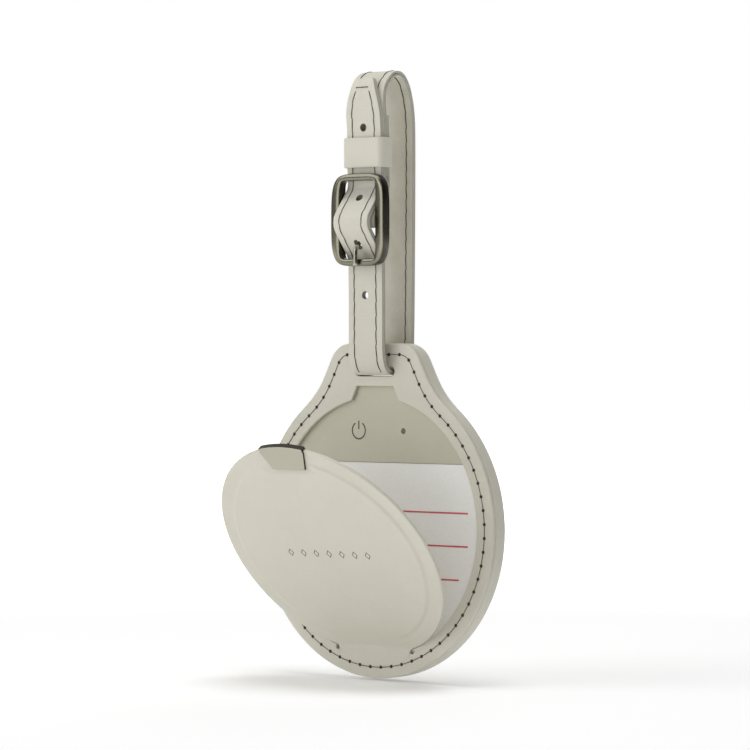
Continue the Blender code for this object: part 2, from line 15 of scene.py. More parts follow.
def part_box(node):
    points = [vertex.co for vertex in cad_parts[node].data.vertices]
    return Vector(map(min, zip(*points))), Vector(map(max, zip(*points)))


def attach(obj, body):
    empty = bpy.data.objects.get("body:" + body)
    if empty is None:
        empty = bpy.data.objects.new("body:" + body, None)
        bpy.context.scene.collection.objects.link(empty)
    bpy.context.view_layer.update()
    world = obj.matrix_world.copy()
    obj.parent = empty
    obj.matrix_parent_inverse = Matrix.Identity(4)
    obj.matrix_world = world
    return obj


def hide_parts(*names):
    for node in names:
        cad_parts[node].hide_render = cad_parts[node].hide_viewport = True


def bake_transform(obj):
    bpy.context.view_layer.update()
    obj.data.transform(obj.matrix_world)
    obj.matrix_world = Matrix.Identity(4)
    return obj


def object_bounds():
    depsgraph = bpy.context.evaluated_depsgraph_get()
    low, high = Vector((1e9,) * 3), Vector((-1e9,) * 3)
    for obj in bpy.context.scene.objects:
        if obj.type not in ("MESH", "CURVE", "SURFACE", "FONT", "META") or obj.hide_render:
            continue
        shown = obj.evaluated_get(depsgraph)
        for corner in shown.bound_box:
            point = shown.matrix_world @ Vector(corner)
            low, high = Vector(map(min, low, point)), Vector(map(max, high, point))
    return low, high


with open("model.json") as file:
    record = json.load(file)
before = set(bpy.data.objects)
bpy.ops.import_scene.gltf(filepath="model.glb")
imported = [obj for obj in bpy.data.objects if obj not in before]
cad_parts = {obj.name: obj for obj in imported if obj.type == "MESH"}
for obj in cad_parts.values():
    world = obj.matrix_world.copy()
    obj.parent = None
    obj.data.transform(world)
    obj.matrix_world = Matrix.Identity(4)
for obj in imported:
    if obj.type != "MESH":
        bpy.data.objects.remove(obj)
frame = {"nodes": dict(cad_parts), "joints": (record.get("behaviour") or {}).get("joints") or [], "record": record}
CAD_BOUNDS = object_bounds()
MM = 0.001

# Read from the frame: the disc's centre, radius and neck, the leather's faces and the flap's hinge.
COVER_LOW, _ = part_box("inner_cover")
FRONT_LOW, FRONT_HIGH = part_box("front_panel")
_, BACK_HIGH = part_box("back_panel")
TRAY_LOW, TRAY_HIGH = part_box("housing_tray")
AT = Vector((0.0, 0.0, (TRAY_LOW.z + TRAY_HIGH.z) / 2))
FRONT = FRONT_LOW.y
LEATHER = FRONT_HIGH.y - FRONT_LOW.y
BACK = BACK_HIGH.y
COVER_FACE = COVER_LOW.y
DISC_RADIUS = AT.z - FRONT_LOW.z
NECK_TOP = FRONT_HIGH.z - AT.z
FLAP_JOINT = next(j for j in frame["joints"] if j["name"] == "flap_hinge")
HINGE = Vector(FLAP_JOINT["pos_m"])
FLAP_OPEN = -math.radians(FLAP_JOINT["range_deg"][0])

# The outline of the disc and its neck.
NECK_CORNER = 0.00675
NECK_LEAN = math.radians(27.5)
FILLET_RADIUS = 0.0236
FILLET_ANGLE = math.radians(52.4)
SIDE_WALL = 0.0013
RING_EDGE = 0.00032  # radius of the front leather's rounded edges
BACK_ROUND = 0.0022  # radius of the back leather's outer edge
SEAM_INSET = 0.00275
WINDOW_RADIUS = 0.0321
NOTCH = ((0.0059, 0.0348), (0.0076, 0.03119))
SLOT_LOW, SLOT_HIGH, SLOT_HALF = 0.0373, 0.0398, 0.0063
CHORD = -0.0303  # height of the bend's lower edge
RELIEF = (0.0119, -0.0302)
RELIEF_RADIUS = 0.00065
BEND_HALF = 0.0112

# The flap, drawn closed.
FLAP_RADIUS = 0.03185
SKIN = 0.00055
BEND_TOP = -0.0281
PANEL_RADIUS = 0.0283  # of the raised middle
PANEL_BEVEL = 0.0009
PANEL_RAISE = 0.00048
PANEL_FADE = (-0.0285, -0.0215)  # heights between which the raised middle fades out towards the bend
PANEL_CLIP_FADE = 0.0012  # how far round the clip the raised middle fades out
RIM_FADE = (-0.0303, -0.0285)  # heights between which the rim's rounding begins
FOOT_LAP = 0.0005  # how far the flap's foot runs into the ring below the bend
FOOT_PROUD = 0.00001
BACKING_INSET = 0.0001
BACKING_FOOT_HALF = 0.0138
CLIP_FOOT, CLIP_HALF, CLIP_FOOT_HALF, CLIP_RADIUS = 0.0256, 0.0069, 0.0051, 0.03245
CLIP_STRAIGHT = 0.0012  # height of the clip's upright sides
CLIP_PROUD = 0.0006
CLIP_EDGE = 0.00022
MARK_PITCH, MARK_SIZE, MARK_LINE, MARK_NARROW = 0.0041, 0.00115, 0.00022, 0.75
MARK_DEEP, MARK_PROUD = 0.0001, 0.00002

# Under the flap.
CAP_EDGE = 0.00004
CAP_GROW = 0.00012
ICON_RADIUS, ICON_LINE, ICON_GAP = 0.0021, 0.00036, math.radians(32)
ICON_STROKE = (0.0003, 0.0024)  # the upright stroke's ends, above the icon's centre
ICON_PROUD = 0.00003
RULES = ((0.0041, 0.0286), (-0.0040, 0.0286), (-0.0122, 0.0258))  # (height, half length)
RULE_LINE, RULE_PROUD = 0.00042, 0.00002
PRINT_THICK = 0.00006

# The strap: its route as (depth, height) in millimetres from the disc's centre, as in the frame's design.
STRAP_ROUTE = (
    (-4.9, 86.5), (-5.05, 92.0), (-5.1, 98.0), (-5.4, 102.0), (-5.6, 105.0), (-5.3, 107.8),
    (-4.15, 109.8), (-2.25, 111.5), (0.0, 112.05), (1.9, 111.3), (3.6, 109.1), (4.6, 106.5),
    (5.4, 103.0), (5.8, 97.0), (5.8, 80.0), (5.55, 56.0), (5.35, 46.0), (5.1, 42.0),
    (4.4, 39.4), (3.0, 38.3), (0.0, 38.2), (-3.0, 38.25), (-4.4, 39.1), (-5.3, 40.8),
    (-5.75, 43.2), (-5.85, 46.5), (-5.85, 56.0), (-5.95, 62.0), (-5.95, 65.0), (-6.35, 66.9),
    (-7.8, 69.0), (-9.1, 70.7), (-10.4, 72.4), (-11.4, 73.8), (-11.7, 75.2), (-11.4, 76.6),
    (-10.4, 78.0), (-9.1, 79.7), (-7.6, 81.6), (-6.35, 83.5), (-6.15, 85.3), (-6.35, 88.0),
    (-6.5, 92.0), (-6.55, 98.0), (-6.85, 102.0), (-7.05, 105.0), (-6.9, 108.0), (-6.4, 110.5),
)
FOLD_ROUTE = (
    (-4.2, 101.5), (-4.0, 98.0), (-3.95, 92.0), (-3.95, 89.0), (-3.85, 86.5), (-3.8, 84.0),
    (-4.5, 81.0), (-6.0, 78.4), (-7.05, 76.4), (-7.25, 75.1), (-7.57, 74.32), (-8.35, 74.0),
    (-9.13, 74.32), (-9.45, 75.1), (-9.2, 76.7), (-8.1, 78.7), (-6.3, 80.7), (-5.25, 82.4),
    (-4.95, 84.2), (-5.0, 85.6),
)
PRONG_ROUTE = (
    (-7.2, 74.2), (-7.3, 72.9), (-7.65, 71.4), (-8.6, 70.15), (-9.65, 69.1), (-10.25, 67.9),
    (-10.35, 66.4), (-10.35, 64.4),
)
STRAP_HALF = 0.0055
STRAP_HALF_THICK = 0.00065
PLY_CENTRE = 0.00035
PLY_HALF = 0.0003
TAPER_START, TIP_HEIGHT, TIP_HALF, TAPER_POWER = 0.1015, 0.1105, 0.0030, 1.6
TIP_SEAM_HEIGHT = 0.1081
SLOT_SEAM_HEIGHT, SLOT_SEAM_DEPTH = 0.042, 0.0040  # the seams stop inside the disc's slot
STRAP_HOLES = (0.0573, 0.0701, 0.0808, 0.0986)
HOLE_RADIUS = 0.0010
PRONG_SLOT = 0.0005
STRAP_SEAM = 0.0035
SLIT = ((-0.00095, 0.0713), (0.00095, 0.0713), (0.00095, 0.0769), (-0.00095, 0.0769))  # for the prong's root
SLIT_DEPTHS = (-0.0020, -0.0060)  # its front end from the bar's centre, its rear end from the disc's
HOLE_REACH = 0.00095
STRAP_CROWN = 0.00004
THREAD, BORDER_THREAD = 0.00012, 0.00009
STRAP_KNOT, TIP_KNOT, BORDER_KNOT = 0.00016, 0.0002, 0.00044
SLANT = 0.0002  # how far each strap stitch leans across the seam
# A stitch's (share of its length, height in thread radii).
ARCH = ((0.02, -0.6), (0.09, 0.35), (0.3, 0.75), (0.5, 0.85), (0.7, 0.75), (0.91, 0.35), (0.98, -0.6))
BORDER_PITCH, STRAP_PITCH, TIP_PITCH = 0.0034, 0.0035, 0.0022
KEEPER_WALL, KEEPER_EDGE, KEEPER_CORNER = 0.0005, 0.00022, 0.0013
BAR = Vector((0.0, -0.00835, 0.0751))
PRONG_RADIUS, EYE_RADIUS, EYE_WIRE = 0.00055, 0.00115, 0.00035
FRAME_POWER, OPENING_POWER = 4.5, 14.0  # a higher power is squarer
OPENING_HALF = (0.0057, 0.0096)
SHADED_SIDE_FACING = 0.6  # below this share of front-facing, a face belongs to the ring's side, which gets a darker copy of the metal as painted shade
FRAME_BOW = 0.0003  # how far the front falls back at its top and foot
SECTION_SQUARE = 0.3  # power of the frame's section; a lower power is squarer


# ---------------------------------------------------------------- materials


class Nodes:
    """A material's node tree, with short calls to add and join nodes."""

    def __init__(self, name, colour, roughness, metallic=0.0):
        self.made = bpy.data.materials.new(name)
        self.made.use_nodes = True
        self.tree = self.made.node_tree
        self.shader = self.tree.nodes["Principled BSDF"]
        self.set("Base Color", (*colour, 1.0))
        self.set("Roughness", roughness)
        self.set("Metallic", metallic)
        self.where = self.tree.nodes.new("ShaderNodeTexCoord").outputs["Object"]

    def set(self, socket, value):
        self.shader.inputs[socket].default_value = value

    def link(self, output, socket):
        self.tree.links.new(output, socket)

    def texture(self, kind, scale, **values):
        node = self.tree.nodes.new(kind)
        self.link(self.where, node.inputs["Vector"])
        node.inputs["Scale"].default_value = scale
        for name, value in values.items():
            node.inputs[name].default_value = value
        return node

    def ramp(self, output, low, high, start=0.3, end=0.7):
        node = self.tree.nodes.new("ShaderNodeValToRGB")
        node.color_ramp.elements[0].position = start
        node.color_ramp.elements[1].position = end
        node.color_ramp.elements[0].color = (*low, 1.0)
        node.color_ramp.elements[1].color = (*high, 1.0)
        self.link(output, node.inputs["Fac"])
        return node.outputs["Color"]

    def bump(self, output, height, strength=1.0, under=None):
        node = self.tree.nodes.new("ShaderNodeBump")
        node.inputs["Distance"].default_value = height
        node.inputs["Strength"].default_value = strength
        self.link(output, node.inputs["Height"])
        if under:
            self.link(under, node.inputs["Normal"])
        return node.outputs["Normal"]

    def mix(self, first, second, share):
        node = self.tree.nodes.new("ShaderNodeMix")
        node.data_type = "RGBA"
        node.blend_type = "MULTIPLY"
        node.inputs["Factor"].default_value = share
        self.link(first, node.inputs["A"])
        self.link(second, node.inputs["B"])
        return node.outputs["Result"]


def tint(colour, factor):
    return tuple(min(1.0, c * factor) for c in colour)


def leather(name, colour, grain=1.0, roughness=(0.42, 0.56)):
    """Fine pebbled leather: pores and creases in the bump, soft blotches in the colour."""
    n = Nodes(name, colour, roughness[0])
    blotch = n.texture("ShaderNodeTexNoise", 90.0, Detail=4.0, Roughness=0.6)
    pores = n.texture("ShaderNodeTexVoronoi", 1900.0 / grain)
    pores.feature = "SMOOTH_F1"
    fine = n.texture("ShaderNodeTexNoise", 2600.0, Detail=5.0, Roughness=0.65)
    crease = n.texture("ShaderNodeTexNoise", 420.0, Detail=6.0, Roughness=0.55)
    base = n.ramp(blotch.outputs["Fac"], tint(colour, 0.98), tint(colour, 1.015))
    speck = n.ramp(fine.outputs["Fac"], (0.96, 0.96, 0.96), (1.02, 1.02, 1.02))
    n.link(n.mix(base, speck, 1.0), n.shader.inputs["Base Color"])
    rough = n.ramp(fine.outputs["Fac"], (roughness[0],) * 3, (roughness[1],) * 3)
    n.link(rough, n.shader.inputs["Roughness"])
    relief = n.bump(crease.outputs["Fac"], 0.00012, 0.35)
    relief = n.bump(pores.outputs["Distance"], 0.00006, 0.55, relief)
    n.link(n.bump(fine.outputs["Fac"], 0.00003, 0.5, relief), n.shader.inputs["Normal"])
    n.set("Specular IOR Level", 0.42)
    return n.made


def suede(name, colour):
    """The napped inner side of the leather."""
    n = Nodes(name, colour, 0.82)
    nap = n.texture("ShaderNodeTexNoise", 3800.0, Detail=6.0, Roughness=0.7)
    blotch = n.texture("ShaderNodeTexNoise", 160.0, Detail=3.0)
    base = n.ramp(blotch.outputs["Fac"], tint(colour, 0.92), tint(colour, 1.05))
    fleck = n.ramp(nap.outputs["Fac"], (0.86, 0.86, 0.86), (1.06, 1.06, 1.06))
    n.link(n.mix(base, fleck, 1.0), n.shader.inputs["Base Color"])
    n.link(n.bump(nap.outputs["Fac"], 0.00008, 0.6), n.shader.inputs["Normal"])
    n.set("Sheen Weight", 0.25)
    n.set("Sheen Roughness", 0.5)
    return n.made


def polished(name, colour, roughness=0.17):
    """Plated metal with faint wipe marks."""
    n = Nodes(name, colour, roughness, 1.0)
    smear = n.texture("ShaderNodeTexNoise", 260.0, Detail=5.0, Roughness=0.6)
    low, high = roughness * 0.75, roughness * 1.5
    n.link(n.ramp(smear.outputs["Fac"], (low,) * 3, (high,) * 3), n.shader.inputs["Roughness"])
    base = n.ramp(smear.outputs["Fac"], tint(colour, 0.93), tint(colour, 1.04))
    n.link(base, n.shader.inputs["Base Color"])
    scratch = n.texture("ShaderNodeTexNoise", 2200.0, Detail=3.0)
    n.link(n.bump(scratch.outputs["Fac"], 0.000004, 0.4), n.shader.inputs["Normal"])
    return n.made


def brushed(name, colour, roughness):
    """Satin plate with very fine, even brushing."""
    n = Nodes(name, colour, roughness, 1.0)
    lines = n.texture("ShaderNodeTexNoise", 5200.0, Detail=2.0)
    base = n.ramp(lines.outputs["Fac"], tint(colour, 0.98), tint(colour, 1.02))
    n.link(base, n.shader.inputs["Base Color"])
    n.link(n.bump(lines.outputs["Fac"], 0.000001, 0.3), n.shader.inputs["Normal"])
    return n.made


def moulded(name, colour, roughness=0.5, metallic=0.0, scale=1800.0):
    """A plain part with a fine moulded or etched surface."""
    n = Nodes(name, colour, roughness, metallic)
    fine = n.texture("ShaderNodeTexNoise", scale, Detail=4.0)
    n.link(n.ramp(fine.outputs["Fac"], tint(colour, 0.96), tint(colour, 1.03)), n.shader.inputs["Base Color"])
    n.link(n.ramp(fine.outputs["Fac"], (roughness * 0.85,) * 3, (roughness * 1.15,) * 3),
           n.shader.inputs["Roughness"])
    n.link(n.bump(fine.outputs["Fac"], 0.00002, 0.4), n.shader.inputs["Normal"])
    return n.made


def thread_cloth(name, colour):
    """Twisted thread: a fine slanting wave along it."""
    n = Nodes(name, colour, 0.75)
    twist = n.texture("ShaderNodeTexWave", 2600.0, Distortion=1.5)
    twist.bands_direction = "DIAGONAL"
    n.link(n.ramp(twist.outputs["Fac"], tint(colour, 0.7), tint(colour, 1.25)), n.shader.inputs["Base Color"])
    n.link(n.bump(twist.outputs["Fac"], 0.00004, 0.7), n.shader.inputs["Normal"])
    return n.made


LEATHER_COLOUR = (0.64, 0.62, 0.53)
LOOKS = {
    "leather": leather("leather_cream", LEATHER_COLOUR),
    # Darker leather for the strap's side faces: part edge paint, part painted shade of faces turned sideways.
    "edge": leather("leather_edge_paint_and_shade", tint(LEATHER_COLOUR, 0.7), 0.7, (0.5, 0.66)),
    # Dark leather for the strap holes' cut walls: painted shade of the holes' insides.
    "hole": leather("hole_wall_painted_shade", (0.25, 0.24, 0.19)),
    "lining": suede("leather_lining", (0.66, 0.635, 0.54)),
    "cover": leather("cover_smooth", (0.56, 0.535, 0.43), 0.6, (0.5, 0.62)),
    "metal": polished("champagne_plate", (0.44, 0.425, 0.35), 0.16),
    "ring_front": brushed("ring_front", (0.195, 0.187, 0.142), 0.2),
    # A much darker copy of the ring's metal for its side faces: painted shade.
    "ring_side_painted_shade": brushed("ring_side_painted_shade", (0.07, 0.066, 0.05), 0.25),
    # A near-black copy of the clip's metal for its edge faces: painted dark reflection.
    "clip_edge_dark_reflection": brushed("clip_edge_dark_reflection", (0.07, 0.065, 0.05), 0.35),
    "clip": brushed("clip_plate", (0.47, 0.45, 0.37), 0.3),
    "thread": thread_cloth("thread_umber", (0.075, 0.068, 0.045)),
    # The knots' material, far darker than the thread, is painted shade of the needle holes.
    "knot": moulded("thread_knot_painted_shade", (0.035, 0.03, 0.02), 0.9),
    "ink": moulded("printed_ink", (0.07, 0.065, 0.05), 0.6),
    "paper": moulded("card_paper", (0.90, 0.895, 0.87), 0.8, 0.0, 3000.0),
    "red": moulded("red_rule", (0.60, 0.09, 0.12), 0.7, 0.0, 3000.0),
    "lamp": moulded("lamp_lens", (0.16, 0.12, 0.08), 0.25),
    "board": moulded("solder_mask", (0.02, 0.12, 0.06), 0.4),
    "dark": moulded("moulded_dark", (0.03, 0.03, 0.032), 0.5),
    "steel": polished("satin_steel", (0.55, 0.55, 0.56), 0.3),
    "copper": polished("enamelled_copper", (0.62, 0.28, 0.14), 0.35),
    "ceramic": moulded("glazed_ceramic", (0.72, 0.68, 0.58), 0.3),
    "pouch": polished("foil_pouch", (0.6, 0.61, 0.63), 0.35),
    "core": moulded("fibre_board", (0.12, 0.11, 0.10), 0.85, 0.0, 900.0),
}


def finish_frame():
    """Every CAD node that stays gets the material for its slot."""
    slots = {s["node"]: s["material_slot"] for s in frame["record"]["subparts"]}
    for name, node in frame["nodes"].items():
        look = LOOKS["lamp" if slots[name] == "clear" else slots[name]]
        node.data.materials.clear()
        node.data.materials.append(look)


# ---------------------------------------------------------------- shapes


def add_piece(name, mesh, look, body, replaced=(), sharp=40):
    """Puts a mesh drawn about the disc's centre into the frame, riding on a body."""
    mesh.transform(Matrix.Translation(AT))
    mesh.materials.clear()
    mesh.materials.append(LOOKS[look])
    mesh.shade_smooth()
    mesh.set_sharp_from_angle(angle=math.radians(sharp))
    made = bpy.data.objects.new(name, mesh)
    bpy.context.scene.collection.objects.link(made)
    if body:
        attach(made, body)
    if replaced:
        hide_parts(*replaced)
    return made


def from_bmesh(name, bm):
    bmesh.ops.recalc_face_normals(bm, faces=bm.faces)
    mesh = bpy.data.meshes.new(name)
    bm.to_mesh(mesh)
    bm.free()
    return mesh


def arc(centre, radius, start, end, step=math.radians(2.5)):
    count = max(1, math.ceil(abs(end - start) / step))
    turns = [start + (end - start) * i / count for i in range(count + 1)]
    return [(centre[0] + radius * math.cos(a), centre[1] + radius * math.sin(a)) for a in turns]


def outline(inset):
    """The disc and its neck, this far inside the edge, clockwise from the neck's top left."""
    reach = DISC_RADIUS + FILLET_RADIUS
    fillet = (reach * math.cos(FILLET_ANGLE), reach * math.sin(FILLET_ANGLE))
    side_x = fillet[0] - FILLET_RADIUS * math.cos(NECK_LEAN)
    side_z = fillet[1] - FILLET_RADIUS * math.sin(NECK_LEAN)
    corner_z = NECK_TOP - NECK_CORNER
    touch_z = corner_z + NECK_CORNER * math.sin(NECK_LEAN)
    touch_x = side_x - (touch_z - side_z) * math.tan(NECK_LEAN)
    corner = (touch_x - NECK_CORNER * math.cos(NECK_LEAN), corner_z)
    right = arc(corner, NECK_CORNER - inset, math.pi / 2, NECK_LEAN)
    right += arc(fillet, FILLET_RADIUS + inset, NECK_LEAN + math.pi, FILLET_ANGLE + math.pi)
    right += arc((0, 0), DISC_RADIUS - inset, FILLET_ANGLE, -math.pi / 2)[1:-1]
    left = [(-x, z) for x, z in reversed(right)]
    return right + [(0.0, inset - DISC_RADIUS)] + left


def mirrored(right):
    return right + [(-x, z) for x, z in reversed(right)]


def slot_outline():
    radius = (SLOT_HIGH - SLOT_LOW) / 2
    middle = (SLOT_HIGH + SLOT_LOW) / 2
    return mirrored(arc((SLOT_HALF - radius, middle), radius, math.pi / 2, -math.pi / 2, math.radians(12)))


def window_outline():
    """The window: notch, circle, a relief hole at each end of the bend, and the bend's straight edge."""
    start = math.atan2(NOTCH[1][1], NOTCH[1][0])
    end = math.atan2(RELIEF[1] + 0.9 * RELIEF_RADIUS, RELIEF[0] + 0.6 * RELIEF_RADIUS)
    right = [NOTCH[0]] + arc((0, 0), WINDOW_RADIUS, start, end)
    right += arc(RELIEF, RELIEF_RADIUS, math.radians(60), math.radians(-188), math.radians(20))
    return mirrored(right + [(BEND_HALF, CHORD)])


def plate(name, outer, holes, front, back, edge, rounds=3):
    """A flat sheet with rounded edges, as a mesh. Outlines are lists of (x, z)."""
    curve = bpy.data.curves.new(name, "CURVE")
    curve.dimensions = "2D"
    curve.fill_mode = "BOTH"
    curve.bevel_depth = edge
    curve.bevel_resolution = rounds
    curve.extrude = (back - front) / 2 - edge
    curve.offset = -edge
    for points in [outer, *holes]:
        spline = curve.splines.new("POLY")
        spline.points.add(len(points) - 1)
        for point, (x, z) in zip(spline.points, points):
            point.co = (x, z, 0.0, 1.0)
        spline.use_cyclic_u = True
    holder = bpy.data.objects.new(name + "_curve", curve)
    bpy.context.scene.collection.objects.link(holder)
    graph = bpy.context.evaluated_depsgraph_get()
    mesh = bpy.data.meshes.new_from_object(holder.evaluated_get(graph))
    bpy.data.objects.remove(holder)
    bpy.data.curves.remove(curve)
    turn = Matrix.Rotation(math.pi / 2, 4, "X")
    mesh.transform(Matrix.Translation((0.0, (front + back) / 2, 0.0)) @ turn)
    bm = bmesh.new()
    bm.from_mesh(mesh)
    bpy.data.meshes.remove(mesh)
    bmesh.ops.remove_doubles(bm, verts=bm.verts, dist=1e-6)
    return from_bmesh(name, bm)


def even_normals(piece):
    """Keeps flat faces flat where they meet a narrow rounded edge."""
    modifier = piece.modifiers.new("even_normals", "WEIGHTED_NORMAL")
    modifier.keep_sharp = True
    modifier.weight = 100


def loft(name, sections, closed_ends=True):
    bm = bmesh.new()
    rings = [[bm.verts.new(p) for p in points] for points in sections]
    for first, second in zip(rings, rings[1:]):
        for i in range(len(first)):
            j = (i + 1) % len(first)
            bm.faces.new((first[i], first[j], second[j], second[i]))
    if closed_ends:
        bm.faces.new(rings[0])
        bm.faces.new(rings[-1])
    return from_bmesh(name, bm)


def at_depth(points, depth):
    return [(x, depth, z) for x, z in points]


def cut(piece, cutter_mesh, wall_slot=0):
    """Cuts a mesh drawn about the disc's centre from a piece, and applies the cut."""
    for polygon in cutter_mesh.polygons:
        polygon.material_index = wall_slot
    cutter_mesh.transform(Matrix.Translation(AT))
    cutter = bpy.data.objects.new("cutter", cutter_mesh)
    bpy.context.scene.collection.objects.link(cutter)
    modifier = piece.modifiers.new("cut", "BOOLEAN")
    modifier.object = cutter
    graph = bpy.context.evaluated_depsgraph_get()
    old = piece.data
    piece.data = bpy.data.meshes.new_from_object(piece.evaluated_get(graph))
    piece.modifiers.remove(modifier)
    bpy.data.objects.remove(cutter)
    bpy.data.meshes.remove(old)


def smooth_route(points, parts=8):
    """Catmull-Rom through (depth, height) points in millimetres, as vectors in metres."""
    points = [Vector((y, z)) * MM for y, z in points]
    ends = [points[0]] + points + [points[-1]]
    fine = []
    for a, b, c, d in zip(ends, ends[1:], ends[2:], ends[3:]):
        for i in range(parts):
            t = i / parts
            fine.append((a * (-t + 2 * t**2 - t**3) + b * (2 - 5 * t**2 + 3 * t**3)
                         + c * (t + 4 * t**2 - 3 * t**3) + d * (-(t**2) + t**3)) / 2)
    return fine + [points[-1]]


def spaced(path, gap):
    """The path with a point about every gap, always keeping its ends."""
    kept = [path[0]]
    for p in path[1:-1]:
        if (p - kept[-1]).length >= gap:
            kept.append(p)
    return kept + [path[-1]]


def left_of(path, i):
    along = (path[min(i + 1, len(path) - 1)] - path[max(i - 1, 0)]).normalized()
    return Vector((-along.y, along.x))


def offset(path, distance):
    return [p + left_of(path, i) * distance for i, p in enumerate(path)]


def band_profile(half_wide, half_thick, crown=0.0):
    """A strap's section, with round edges and a slightly crowned outer face."""
    corner = half_thick * 0.8
    points = []
    for side in (1, -1):
        centre = side * (half_wide - corner)
        for k in range(7):
            angle = math.radians(-90 * side + 30 * k)
            points.append((centre + corner * math.cos(angle), half_thick * math.sin(angle)))
    dense = []
    for k, (x, n) in enumerate(points):
        dense.append((x, n))
        if k == 6:
            across = (0.7, 0.45, 0.2, -0.2, -0.45, -0.7)
            dense += [(half_wide * f, half_thick + crown * (1 - f * f)) for f in across]
    return dense


def sweep(name, path, half_wide, half_thick, crown=0.0):
    rings = []
    for i, p in enumerate(path):
        normal = left_of(path, i)
        ring = []
        for x, n in band_profile(half_wide(i), half_thick, crown):
            q = p + normal * n
            ring.append((x, q.x, q.y))
        rings.append(ring)
    return loft(name, rings)


def tube_between(bm, spine, radius, sides=6):
    """A tube through 3-D points, with round-ish closed ends, added to a bmesh."""
    rings = []
    for i, p in enumerate(spine):
        along = (spine[min(i + 1, len(spine) - 1)] - spine[max(i - 1, 0)]).normalized()
        across = along.cross(Vector((0.31, 0.53, 0.79))).normalized()
        up = along.cross(across)
        r = radius * (0.55 if i in (0, len(spine) - 1) else 1.0)
        turns = [math.tau * k / sides for k in range(sides)]
        rings.append([bm.verts.new(p + (across * math.cos(a) + up * math.sin(a)) * r) for a in turns])
    for first, second in zip(rings, rings[1:]):
        for k in range(sides):
            n = (k + 1) % sides
            bm.faces.new((first[k], first[n], second[n], second[k]))
    bm.faces.new(rings[0])
    bm.faces.new(rings[-1])


def knot(bm, centre, normal, along, radius):
    """A small bead that fills a needle hole; its material is painted shade of the hole."""
    side = normal.cross(along).normalized()
    turns = [math.tau * k / 10 for k in range(10)]
    rings = []
    for share, lift in ((1.0, -0.00005), (1.0, 0.00006), (0.7, 0.00016)):
        reach = radius * share
        base = centre + normal * lift
        rings.append([bm.verts.new(base + (along * math.cos(a) + side * math.sin(a)) * reach) for a in turns])
    for first, second in zip(rings, rings[1:]):
        for k in range(10):
            n = (k + 1) % 10
            bm.faces.new((first[k], first[n], second[n], second[k]))
    bm.faces.new(rings[0])
    bm.faces.new(rings[-1])


def stitches(thread_bm, knot_bm, line, normals, pitch, hole, slant=0.0, gauge=THREAD):
    """Stitches along a 3-D line: each arches from one needle hole to the next, and a knot fills each hole."""
    lengths = [0.0]
    for a, b in zip(line, line[1:]):
        lengths.append(lengths[-1] + (b - a).length)
    count = max(1, round(lengths[-1] / pitch))

    def at(distance):
        k = min(max(1, int(np.searchsorted(lengths, distance))), len(line) - 1)
        share = (distance - lengths[k - 1]) / max(lengths[k] - lengths[k - 1], 1e-9)
        return line[k - 1].lerp(line[k], share), normals[k - 1].lerp(normals[k], share).normalized()

    step = lengths[-1] / count
    for s in range(count):
        spine = []
        for share, lift in ARCH:
            p, normal = at((s + share) * step)
            along = (at(min((s + share) * step + 1e-4, lengths[-1]))[0] - p)
            side = normal.cross(along).normalized() if along.length > 1e-9 else Vector()
            spine.append(p + normal * lift * gauge + side * slant * (share - 0.5))
        tube_between(thread_bm, spine, gauge)
        p, normal = at(s * step)
        along = (at(min(s * step + 1e-4, lengths[-1]))[0] - p)
        if along.length > 1e-9:
            knot(knot_bm, p, normal, along.normalized(), hole)


# ---------------------------------------------------------------- the disc


def make_disc():
    groove = FRONT + LEATHER
    openings = [window_outline(), slot_outline()]
    sheet = plate("ring_leather", outline(0), openings, FRONT, groove, RING_EDGE, 4)
    even_normals(add_piece("ring_leather", sheet, "leather", "tag", ["front_panel"]))
    sections = [(0.0004, groove + 0.00002), (0.00012, groove + 0.0002), (0.0, groove + 0.0006)]
    for k in range(8):
        a = k / 7 * math.pi / 2
        sections.append((BACK_ROUND * (1 - math.cos(a)), BACK - BACK_ROUND + BACK_ROUND * math.sin(a)))
    shell = loft("back_leather", [at_depth(outline(inset), depth) for inset, depth in sections])
    wall = add_piece("back_leather", shell, "leather", "tag", ["back_panel"])
    inner = outline(SIDE_WALL)
    cut(wall, loft("hollow", [at_depth(inner, groove - 0.001), at_depth(inner, BACK - LEATHER)]))
    cut(wall, loft("slot", [at_depth(slot_outline(), FRONT), at_depth(slot_outline(), BACK + 0.001)]))
    even_normals(wall)

    threads, knots = bmesh.new(), bmesh.new()
    for depth, out in ((FRONT, -1), (BACK, 1)):
        seam = outline(SEAM_INSET)
        line = [Vector((x, depth, z)) for x, z in seam + seam[:1]]
        normals = [Vector((0, out, 0))] * len(line)
        stitches(threads, knots, line, normals, BORDER_PITCH, BORDER_KNOT, 0.0, BORDER_THREAD)
    add_piece("border_thread", from_bmesh("border_thread", threads), "thread", "tag")
    add_piece("border_knots", from_bmesh("border_knots", knots), "knot", "tag")


# ---------------------------------------------------------------- the flap


def turned(points, share=lambda y, z: 1.0):
    """Opens closed-flap points (x, y, z) about the hinge by their share of the flap's angle."""
    made = []
    pivot = HINGE - AT
    for x, y, z in points:
        a = FLAP_OPEN * share(y, z)
        dy, dz = y - pivot.y, z - pivot.z
        depth = pivot.y + dy * math.cos(a) - dz * math.sin(a)
        made.append((x, depth, pivot.z + dy * math.sin(a) + dz * math.cos(a)))
    return made


def ease(value, low, high):
    t = min(max((value - low) / (high - low), 0.0), 1.0)
    return t * t * (3 - 2 * t)


def bend_share(_, z):
    return ease(z, CHORD, BEND_TOP)


def flap_edge(radius, foot, foot_half, lap=0.0):
    end = math.asin((foot + 0.0007) / radius)
    right = arc((0, 0), radius, math.pi / 2, end, math.radians(2))
    right.append((foot_half, foot))
    foot -= lap
    foot_half -= lap / 2
    right.append((foot_half, foot))
    steps = 8
    right += [(foot_half * (1 - k / steps), foot) for k in range(1, steps)]
    left = [(-x, z) for x, z in reversed(right[1:])]
    return right + [(0.0, foot)] + left


